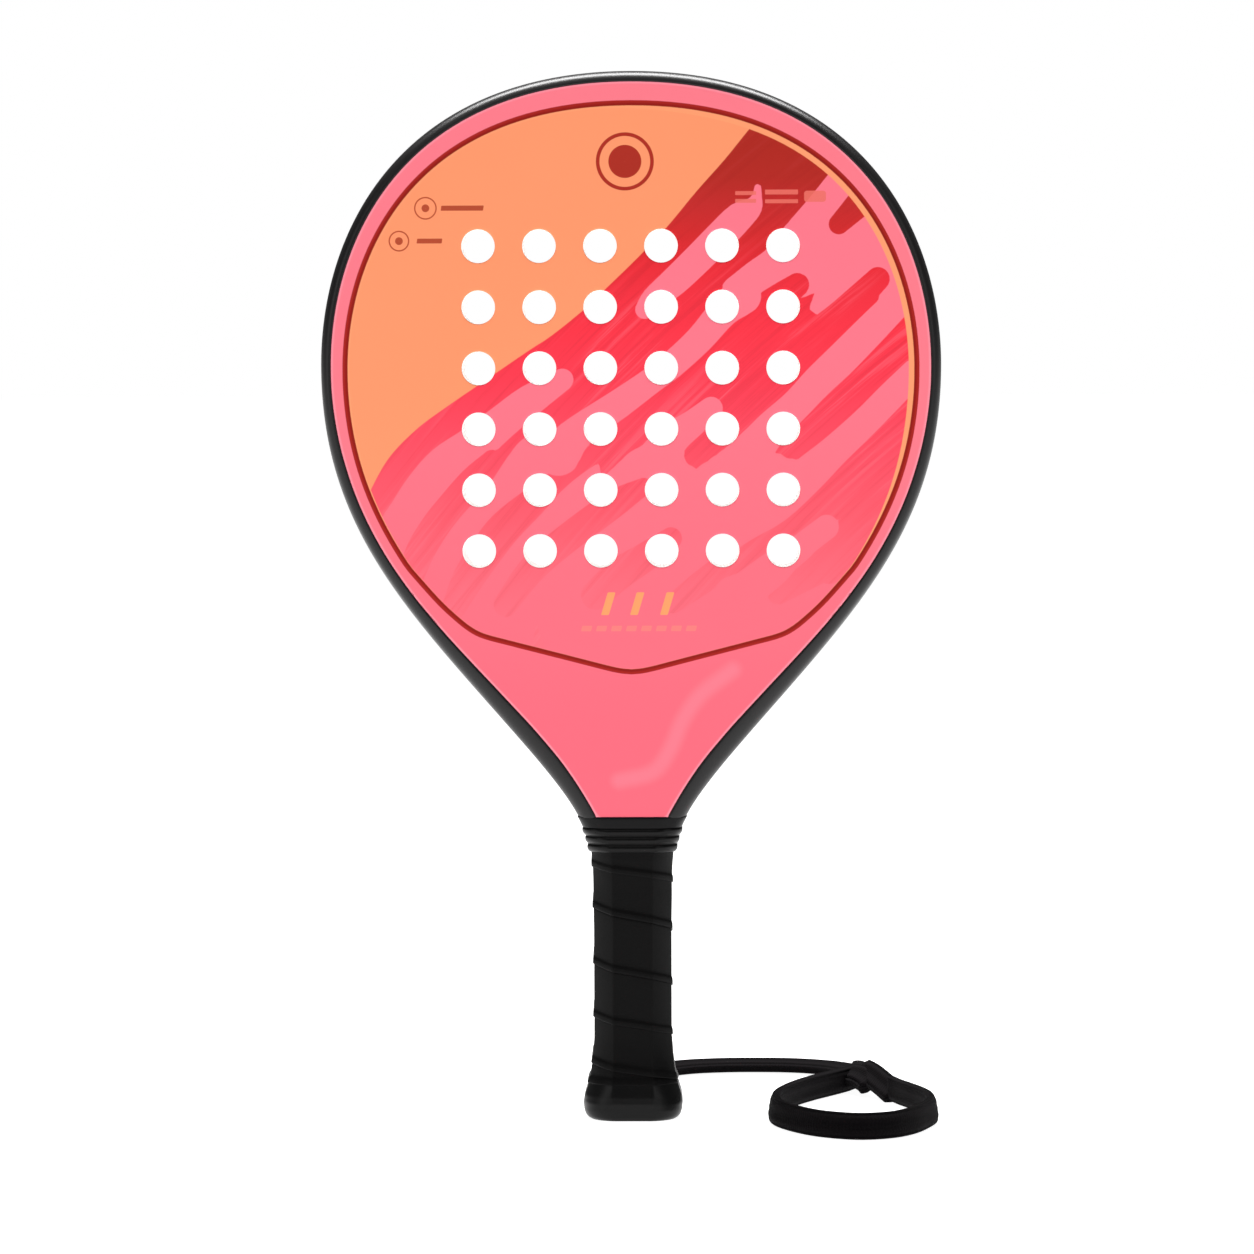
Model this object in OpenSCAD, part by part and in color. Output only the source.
/* [Body] */
// Length from the butt to the top of the head
racket_len = 436; // [426:1:446]
// Width of the head at its widest
head_w = 257; // [254:1:259]
// Thickness of the head over both faces
body_t = 38; // [36:0.5:40]
// Thickness of each moulded face
face_t = 1; // [0.8:0.1:1.2]
// Width of the frame tube, measured in the plane of the face
tube_w = 12; // [11:0.5:14]
// Wall of the frame tube
tube_wall = 1.5; // [1:0.1:2]

/* [Holes] */
// Diameter of each hole in the face
hole_d = 13.9; // [11:0.1:15]
// Distance between neighbouring holes
hole_pitch = 25.2; // [24:0.1:26]
// Holes in a row, and rows
hole_count = 6; // [2:2:6]
// Height of the middle of the hole field
hole_z = 300.8; // [297:0.1:303]

/* [Bridge] */
// Radius of the bridge that closes the head from below
bridge_r = 140; // [136:1:144]
// Thickness of the bridge
bridge_t = 9; // [6:0.5:12]

/* [Handle] */
// Width of the gripped handle
handle_w = 32.4; // [31:0.1:34]
// Depth of the gripped handle
handle_d = 34; // [33:0.1:35]
// Thickness of each grip layer
grip_t = 1.5; // [1.2:0.1:1.6]
// Wall of the two handle shells
shell_t = 1.6; // [1.4:0.1:1.8]
// Height of the rubber collar
collar_h = 9.6; // [8:0.1:10]
// Height of the finishing tape above the collar
tape_h = 5; // [4:0.1:6]

/* [Butt] */
// Widest part of the butt cap, side to side
butt_w = 41.6; // [40:0.1:44]
// Widest part of the butt cap, front to back
butt_d = 40; // [38:0.1:42]
// Radius of the round plug in the underside
plug_r = 9; // [7:0.5:10]

/* [Strap] */
// Width of the flat braided wrist strap
strap_w = 11; // [10:0.5:11]
// Thickness of the wrist strap
strap_t = 4; // [3:0.5:4]

/* [Hidden] */

// Heights along the handle
throat_end = 126;    // the moulded faces stop here and the neck begins
shell_top = 104;     // top of the handle shells
base_top = 108;      // top of the base grip
grip_top = 111;      // top of the wound grip
handle_end = 17;     // lower end of the tube legs, shells and handle core
skirt_top = 24;      // top of the butt cap
grip_low = 15;       // lower edge of the wound grip
floor_t = 5;         // thickness of the cap's underside
strap_z = 9.5;       // height of the strap's outlet in the cap
pin_z = 20.5;        // height of the two pins that hold the cap
leg_gap = 3;         // half of the gap between the two tube legs

core_y = body_t / 2 - face_t;
layers = 2 * grip_t + shell_t;
hole_r = hole_d / 2;
collar_low = grip_top;
collar_top = collar_low + collar_h;
pin_r = 1.2;

// Cubic curve through four control points, and a list of points along it
function cubic(c, t) =
    pow(1 - t, 3) * c[0] + 3 * pow(1 - t, 2) * t * c[1] + 3 * (1 - t) * t * t * c[2] + t * t * t * c[3];
function cubic_points(c, n) = [for (i = [0 : n - 1]) cubic(c, i / n)];
function ramp(t) = let (u = max(0, min(1, t))) u * u * (3 - 2 * u);
function flat(lists) = [for (a = lists) each a];
function mirrored(points) = [for (i = [len(points) - 1 : -1 : 0]) [-points[i][0], points[i][1]]];
function unit2(v) = v / norm(v);

// Right half of the outline as [x, z]: crown, side of the head, then throat and neck
half_w = head_w / 2;
hip = [46.9, 159.4];
neck = [16.4, 90];
crown_curve = [[0, racket_len], [95, racket_len], [half_w, racket_len - 65.3], [half_w, racket_len - 121.6]];
side_curve = [[half_w, racket_len - 121.6], [half_w, racket_len - 189.4], hip + [45.2, 52.2], hip];
neck_curve = [hip, hip - [31.2, 36], neck + [0, 28], neck];
half_outline = concat(cubic_points(crown_curve, 22), cubic_points(side_curve, 16), cubic_points(neck_curve, 18));
neck_widths = [for (p = half_outline) if (p[1] < 172) [p[1], p[0]]];

// Half width and half depth of the covered handle at height z, from the flared butt up to the neck
grip_widths = concat(
    [
        [0, butt_w / 2 - 3], [0.8, butt_w / 2 - 1.9], [2, butt_w / 2 - 1], [4, butt_w / 2 - 0.3],
        [7, butt_w / 2], [10, butt_w / 2 - 0.5], [14, butt_w / 2 - 1.8], [18, handle_w / 2 + 1.7],
        [25, handle_w / 2 + 0.7], [34, handle_w / 2], [80, handle_w / 2]
    ],
    [for (i = [len(neck_widths) - 1 : -1 : 0]) neck_widths[i]]
);
grip_depths = [
    [0, butt_d / 2 - 2], [0.8, butt_d / 2 - 1.2], [2, butt_d / 2 - 0.6], [4, butt_d / 2 - 0.2],
    [7, butt_d / 2], [10, butt_d / 2 - 0.3], [14, butt_d / 2 - 1.1], [18, handle_d / 2 + 1.2],
    [25, handle_d / 2 + 0.5], [34, handle_d / 2], [98, handle_d / 2], [112, handle_d / 2 + 0.5],
    [throat_end, body_t / 2]
];
// Corner of the cross-section: its reach in x and y, and how flat it is (0 round, 1 a straight chamfer)
corner_x = [[0, 10], [7, 12.5], [18, 9.5], [34, 8.1], [98, 8.1], [112, 8.5], [throat_end, 10]];
corner_y = [[0, 11], [7, 12], [18, 9.5], [34, 8.1], [98, 8.1], [112, 8], [throat_end, 7]];
flatness = [[0, 0.2], [7, 0.3], [18, 0.7], [34, 0.85], [98, 0.85], [112, 0.6], [throat_end, 0]];

function half_width(z) = lookup(z, grip_widths);
function half_depth(z) = lookup(z, grip_depths);
function shaft_depth(z) = half_depth(max(z, 34));

// One corner of a cross-section from its start angle, as five points
function corner(cx, cy, rx, ry, flat_part, turn) = [
    for (i = [0 : 4])
        let (
            a = 22.5 * i,
            t = i / 4,
            x = (1 - flat_part) * cos(a) + flat_part * (1 - t),
            y = (1 - flat_part) * sin(a) + flat_part * t
        )
            turn == 0 ? [cx + rx * x, cy + ry * y]
            : turn == 1 ? [-cx - rx * y, cy + ry * x]
            : turn == 2 ? [-cx - rx * x, -cy - ry * y]
            : [cx + rx * y, -cy - ry * x]
];
// Cross-section at height z, this far inside the covered handle's surface; inset grows inwards
function section(z, inset) =
    let (
        rx = max(1, lookup(z, corner_x) - 0.586 * inset),
        ry = max(1, lookup(z, corner_y) - 0.586 * inset),
        cx = half_width(z) - inset - rx,
        cy = half_depth(z) - inset - ry,
        f = lookup(z, flatness)
    )
        [for (turn = [0 : 3]) each [for (p = corner(cx, cy, rx, ry, f, turn)) [p[0], p[1], z]]];
function stack(heights, inset) = [for (z = heights) section(z, inset)];

// Faces between neighbouring rings of n points; the ring turns left-handed to its direction of travel
function skin_faces(rings, n, first, inward) = [
    for (k = [0 : rings - 2])
        for (i = [0 : n - 1])
            let (
                a = first + k * n + i,
                b = first + k * n + (i + 1) % n
            )
                each (inward ? [[b + n, a + n, a], [b, b + n, a]] : [[b + n, b, a], [a + n, b + n, a]])
];
function rim_faces(n, outer, inner, flip) = [
    for (i = [0 : n - 1])
        let (
            a = outer + i,
            b = outer + (i + 1) % n,
            c = inner + (i + 1) % n,
            d = inner + i
        )
            each (flip ? [[b, c, a], [c, d, a]] : [[c, b, a], [d, c, a]])
];

// A solid through closed rings, and a wall between an outer and an inner set of rings
module loft(rings) {
    n = len(rings[0]);
    m = len(rings);
    polyhedron(
        points = flat(rings),
        faces = concat(
            [[for (i = [0 : n - 1]) i]],
            skin_faces(m, n, 0, false),
            [[for (i = [n - 1 : -1 : 0]) (m - 1) * n + i]]
        ),
        convexity = 4
    );
}
module wall(outer, inner) {
    n = len(outer[0]);
    m = len(outer);
    k = n * m;
    polyhedron(
        points = concat(flat(outer), flat(inner)),
        faces = concat(
            skin_faces(m, n, 0, false), skin_faces(m, n, k, true),
            rim_faces(n, 0, k, true), rim_faces(n, k - n, 2 * k - n, false)
        ),
        convexity = 6
    );
}

// How far the tube lies under the tape, collar and grips, at its sides and at its front and back
function side_cover(z) = layers * ramp((127 - z) / (127 - shell_top));
function flat_cover(z) = face_t + (layers - face_t) * ramp((throat_end - z) / (throat_end - shell_top));
function flat_y(z) = z > throat_end ? core_y : shaft_depth(z) - flat_cover(z) - 0.2;
function lip(z) = z > throat_end ? face_t : 0.2;
// Rounded shoulder of the tube: its reach inwards across the face, and back along the side
function shoulder_x(z) = lookup(z, [[shell_top, 5.2], [throat_end, 7.5], [160, 7.5], [178, 6.8], [198, 5.8], [212, 5.2], [230, 4.9], [270, 4.8], [306, 4.2], [342, 4.3], [400, 4.4]]);
function shoulder_y(z) = lookup(z, [[shell_top, 5.2], [throat_end, 7], [200, 7], [278, 6]]);

// Outer and inner edge of the tube in the plane of the face
legs = [neck, [half_width(60), 60], [half_width(60), handle_end]];
function tube_outer(p) = [p[0] - side_cover(p[1]), p[1]];
outer_edge = [for (p = concat(half_outline, legs)) tube_outer(p)];
function inward(i) =
    let (
        a = outer_edge[max(0, i - 1)],
        b = outer_edge[min(len(outer_edge) - 1, i + 1)],
        d = i == 0 ? [1, 0] : unit2(b - a)
    )
        [d[1], -d[0]];
function inner_x(z) = leg_gap + 6 * ramp((z - 100) / 26);
inner_edge = [
    for (i = [0 : len(outer_edge) - 1])
        let (
            p = outer_edge[i],
            square_on = p + tube_w * inward(i),
            level = [inner_x(p[1]), p[1]]
        )
            square_on + (level - square_on) * ramp((152 - p[1]) / 26)
];

// Tube profile at point i of the half outline, on one side of the racket
function profile(i, side, hollow) =
    let (
        o = outer_edge[i],
        w = norm(inner_edge[i] - o),
        d = (inner_edge[i] - o) / w,
        s = min(shoulder_x(o[1]), w - 2.6),
        r = shoulder_y(o[1]),
        front = hollow ? hollow_front(w, s, r, o[1]) : solid_front(w, s, r, o[1], d[1])
    )
        [
            for (q = concat(front, [for (j = [len(front) - 1 : -1 : 0]) [front[j][0], -front[j][1]]]))
                [side * (o[0] + d[0] * q[0]), q[1], o[1] + d[1] * q[0]]
        ];
function solid_front(w, s, r, z, rise) =
    let (
        at_shoulder = flat_y(z + rise * s),
        top = at_shoulder + lip(z + rise * s)
    )
        concat(
            [[w, -flat_y(z + rise * w)], [s, -at_shoulder]],
            [for (a = [0, 30, 60, 90]) [s * (1 - sin(a)), -(top - r * (1 - cos(a)))]]
        );
function hollow_front(w, s, r, z) =
    let (
        t = tube_wall,
        y = flat_y(z) - t,
        low = y - r + t
    )
        [
            [w - t, -y], [s - 0.3, -y], [s - 1, -y],
            [(s + t) / 2 - 0.2, -(y + low) / 2 - 0.8], [t, -low], [t, -low / 2]
        ];

edge_n = len(outer_edge);
tube_rings = concat(
    [for (i = [edge_n - 1 : -1 : 0]) profile(i, 1, false)],
    [for (i = [1 : edge_n - 1]) profile(i, -1, false)]
);
bore_rings = concat(
    [for (i = [edge_n - 1 : -1 : 0]) profile(i, 1, true)],
    [for (i = [1 : edge_n - 1]) profile(i, -1, true)]
);

// Closed outlines in the plane of the face
core_outline = concat(inner_edge, mirrored([for (i = [1 : edge_n - 1]) inner_edge[i]]));
face_edge = [
    for (i = [0 : edge_n - 1])
        if (outer_edge[i][1] > throat_end - 8)
            let (
                o = outer_edge[i],
                d = unit2(inner_edge[i] - o)
            )
                o + d * min(shoulder_x(o[1]), norm(inner_edge[i] - o) - 2.6)
];
face_outline = concat(face_edge, mirrored([for (i = [1 : len(face_edge) - 1]) face_edge[i]]));

// A flat plate from an outline in x and z, between two depths
module plate(low_y, high_y) {
    translate([0, high_y, 0])
        rotate([90, 0, 0])
            linear_extrude(high_y - low_y)
                children();
}
module hole_field() {
    first = -(hole_count - 1) / 2 * hole_pitch;
    for (i = [0 : hole_count - 1])
        for (j = [0 : hole_count - 1])
            translate([first + i * hole_pitch, 0, hole_z + first + j * hole_pitch])
                rotate([90, 0, 0])
                    cylinder(r = hole_r, h = body_t + 4, center = true, $fn = 64);
}
module above(z) {
    translate([-head_w, z])
        square([2 * head_w, racket_len]);
}
module bridge_circle(r) {
    translate([0, racket_len - 106])
        circle(r = r, $fn = 180);
}
module face(low_y) {
    difference() {
        plate(low_y, low_y + face_t)
            intersection() {
                polygon(face_outline);
                above(throat_end);
            }
        hole_field();
    }
}

module eva_core() {
    color("white")
        difference() {
            plate(-core_y, core_y)
                intersection() {
                    polygon(core_outline);
                    bridge_circle(bridge_r);
                }
            hole_field();
        }
}
module front_face() {
    color([1, 0.44, 0.52])
        face(-core_y - face_t);
}
module back_face() {
    color([1, 0.44, 0.52])
        face(core_y);
}
module frame_tube() {
    color([0.12, 0.12, 0.12])
        wall(tube_rings, bore_rings);
}
module bridge() {
    color([0.2, 0.2, 0.2])
        plate(-core_y, core_y)
            intersection() {
                polygon(core_outline);
                difference() {
                    bridge_circle(bridge_r + bridge_t);
                    bridge_circle(bridge_r);
                }
            }
}
module throat_core() {
    color([0.85, 0.85, 0.8])
        plate(-core_y, core_y)
            difference() {
                intersection() {
                    polygon(core_outline);
                    above(throat_end);
                }
                bridge_circle(bridge_r + bridge_t);
            }
}
module handle_core() {
    heights = [handle_end, 60, 100, 104, 108, 112, 116, 120, throat_end];
    rings = [
        for (z = heights)
            let (
                x = inner_x(z),
                y = shaft_depth(z) - flat_cover(z)
            )
                [[x, -y, z], [x, y, z], [-x, y, z], [-x, -y, z]]
    ];
    color([0.85, 0.85, 0.8])
        loft(rings);
}
module handle_shell(side) {
    heights = [handle_end, skirt_top, 34, 80, 90, 98, shell_top];
    straight = [for (z = heights) max(z, 34)];
    outer = [for (i = [0 : len(heights) - 1]) [for (p = section(straight[i], 2 * grip_t)) [p[0], p[1], heights[i]]]];
    inner = [for (i = [0 : len(heights) - 1]) [for (p = section(straight[i], layers)) [p[0], p[1], heights[i]]]];
    color([0.25, 0.25, 0.25])
        difference() {
            wall(outer, inner);
            translate([-30, side > 0 ? -60.05 : 0.05, 0])
                cube([60, 60, 200]);
            cap_pin_holes();
        }
}
module handle_shell_front() {
    handle_shell(-1);
}
module handle_shell_back() {
    handle_shell(1);
}
module base_grip() {
    heights = [skirt_top, 34, 80, 92, 98, 104, base_top];
    color([0.08, 0.08, 0.08])
        wall(stack(heights, grip_t), stack(heights, 2 * grip_t));
}
module grip_tape() {
    heights = [grip_low, 18, 21, 25, 34, 80, 90, 98, 102, 105, 108, grip_top];
    color([0.07, 0.07, 0.07])
        wall(stack(heights, 0), stack(heights, grip_t));
}
module finishing_tape() {
    heights = [for (k = [0 : 3]) collar_top + k * tape_h / 3];
    color([0.05, 0.05, 0.05])
        wall(stack(heights, -0.3), stack(heights, 0.3));
}
// Ribbed rubber collar: three raised ribs over a thin sleeve
module grip_collar() {
    ribs = 3;
    steps = [0, 0.25, 0.5, 0.75];
    rise = [0.2, 1.1, 1.3, 0.9];
    marks = concat([for (k = [0 : ribs - 1]) for (i = [0 : 3]) [(k + steps[i]) / ribs, rise[i]]], [[1, 0.2]]);
    heights = [for (m = marks) collar_low + m[0] * collar_h];
    outer = [for (i = [0 : len(marks) - 1]) section(heights[i], -marks[i][1])];
    color([0.06, 0.06, 0.06])
        wall(outer, stack(heights, 0.4));
}
module cap_pin_holes() {
    translate([0, 0, pin_z])
        rotate([90, 0, 0])
            cylinder(r = pin_r, h = 80, center = true, $fn = 24);
}
// Flared cup that closes the handle, with a slot for the strap and a round opening underneath
module butt_cap() {
    low = [0, 0.8, 2, 4, 7, 10, 14, 15];
    high = [15.01, 18, 21, skirt_top];
    color([0.13, 0.13, 0.13])
        difference() {
            loft(concat(stack(low, 0), stack(high, grip_t)));
            cap_cavity();
            translate([0, 0, -1])
                cylinder(r = plug_r, h = floor_t + 2, $fn = 64);
            strap_slot(strap_w + 1.4, strap_t + 1.4, 10, 30);
            cap_pin_holes();
        }
}
module cap_cavity() {
    translate([0, 0, floor_t])
        linear_extrude(skirt_top)
            polygon([for (p = section(34, 2 * grip_t)) [p[0], p[1]]]);
}
// A slot with round ends, running along y from one depth to another
module strap_slot(w, h, low_y, high_y) {
    translate([0, high_y, strap_z])
        rotate([90, 0, 0])
            linear_extrude(high_y - low_y) {
                square([w - h, h], center = true);
                for (side = [-1, 1])
                    translate([side * (w - h) / 2, 0])
                        circle(d = h, $fn = 32);
            }
}
module butt_plug() {
    color([0.1, 0.1, 0.1])
        translate([0, 0, 0.5])
            cylinder(r = plug_r, h = floor_t - 0.5, $fn = 64);
}
module cap_pins() {
    inner_y = half_depth(34) - layers + 0.1;
    head_y = half_depth(pin_z) - grip_t;
    color([0.6, 0.6, 0.62])
        for (side = [0, 180])
            rotate([0, 0, side])
                translate([0, -inner_y, pin_z])
                    rotate([90, 0, 0])
                        cylinder(r = pin_r, h = head_y - inner_y, $fn = 24);
}
module strap_eyelet() {
    lip_y = half_depth(strap_z);
    color([0.15, 0.15, 0.15])
        difference() {
            union() {
                strap_slot(strap_w + 1.4, strap_t + 1.4, half_depth(34) - 2 * grip_t, lip_y);
                strap_slot(strap_w + 4, strap_t + 4, lip_y, lip_y + 0.9);
            }
            strap_slot(strap_w + 0.2, strap_t + 0.2, 0, 40);
        }
}

// Route of the strap: out of the cap, back along the floor, round to the knot; then the standing loop
lead_route = [
    [0, 6, 9.5], [0, 14, 9.5], [0, 23, 9.3], [0, 33, 7.8], [0, 47, 4.6], [1, 63, 2.8], [2, 80, 2.4],
    [5, 98, 2.4], [11, 113, 2.4], [23, 124, 2.4], [38, 129, 2.4], [54, 130, 2.4], [70, 128, 2.4],
    [84, 121, 2.6], [93, 109, 3.3], [97, 95, 5], [96, 82, 6.3]
];
loop_route = [
    [95, 72, 6.4], [91, 65, 6], [84, 54, 5.8], [77, 42, 5.8], [70, 28, 5.8], [64, 12, 5.8], [60, -4, 5.8],
    [59, -20, 5.8], [61, -36, 5.8], [68, -52, 5.8], [78, -65, 5.8], [92, -72, 5.8], [105, -68, 5.8],
    [114, -57, 5.8], [120, -42, 5.8], [124, -26, 5.8], [124, -10, 5.8], [121, 4, 5.8], [117, 16, 5.8],
    [113, 27, 5.8], [110, 33, 6.4]
];
knot_from = [94, 76, 7.3];
knot_to = [110, 30, 7.3];
knot_r = 7;

// Strap cross-section at point i, turned from lying flat (0) to standing on edge (1)
function along(route, i) =
    let (
        a = route[max(0, i - 1)],
        b = route[min(len(route) - 1, i + 1)]
    )
        (b - a) / norm(b - a);
function strap_ring(route, i, on_edge) =
    let (
        t = along(route, i),
        side = cross(t, [0, 0, 1]) / norm(cross(t, [0, 0, 1])),
        up = cross(side, t),
        wide = side * cos(90 * on_edge) + up * sin(90 * on_edge),
        thin = cross(wide, t)
    )
        [for (a = [0 : 36 : 324]) route[i] + wide * strap_w / 2 * cos(a) - thin * strap_t / 2 * flat_sine(a)];
// A sine with a flattened crest, so that the band has broad flat sides
function flat_sine(a) = sign(sin(a)) * pow(abs(sin(a)), 0.5);
lead_rings = [for (i = [0 : len(lead_route) - 1]) strap_ring(lead_route, i, ramp((i - 14.2) / 2))];
loop_rings = [for (i = [0 : len(loop_route) - 1]) strap_ring(loop_route, i, 1)];

module strap_anchor() {
    color([0.04, 0.04, 0.04])
        translate([0, 1, floor_t + 5.6])
            sphere(r = 5.2, $fn = 32);
}
module strap_lead() {
    color([0.04, 0.04, 0.04])
        loft(lead_rings);
}
module strap_loop() {
    color([0.04, 0.04, 0.04])
        loft(loop_rings);
}
module strap_knot() {
    run = knot_to - knot_from;
    long = norm(run);
    color([0.05, 0.05, 0.05])
        translate(knot_from)
            rotate([0, 90, atan2(run[1], run[0])])
                rotate_extrude($fn = 48)
                    polygon([
                        [0, 0], [4, 0], [6, 3], [knot_r, 10], [knot_r, long - 10], [6, long - 3], [4, long], [0, long]
                    ]);
}

eva_core();
front_face();
back_face();
frame_tube();
bridge();
throat_core();
handle_core();
handle_shell_front();
handle_shell_back();
base_grip();
grip_tape();
finishing_tape();
grip_collar();
butt_cap();
butt_plug();
cap_pins();
strap_eyelet();
strap_anchor();
strap_lead();
strap_knot();
strap_loop();
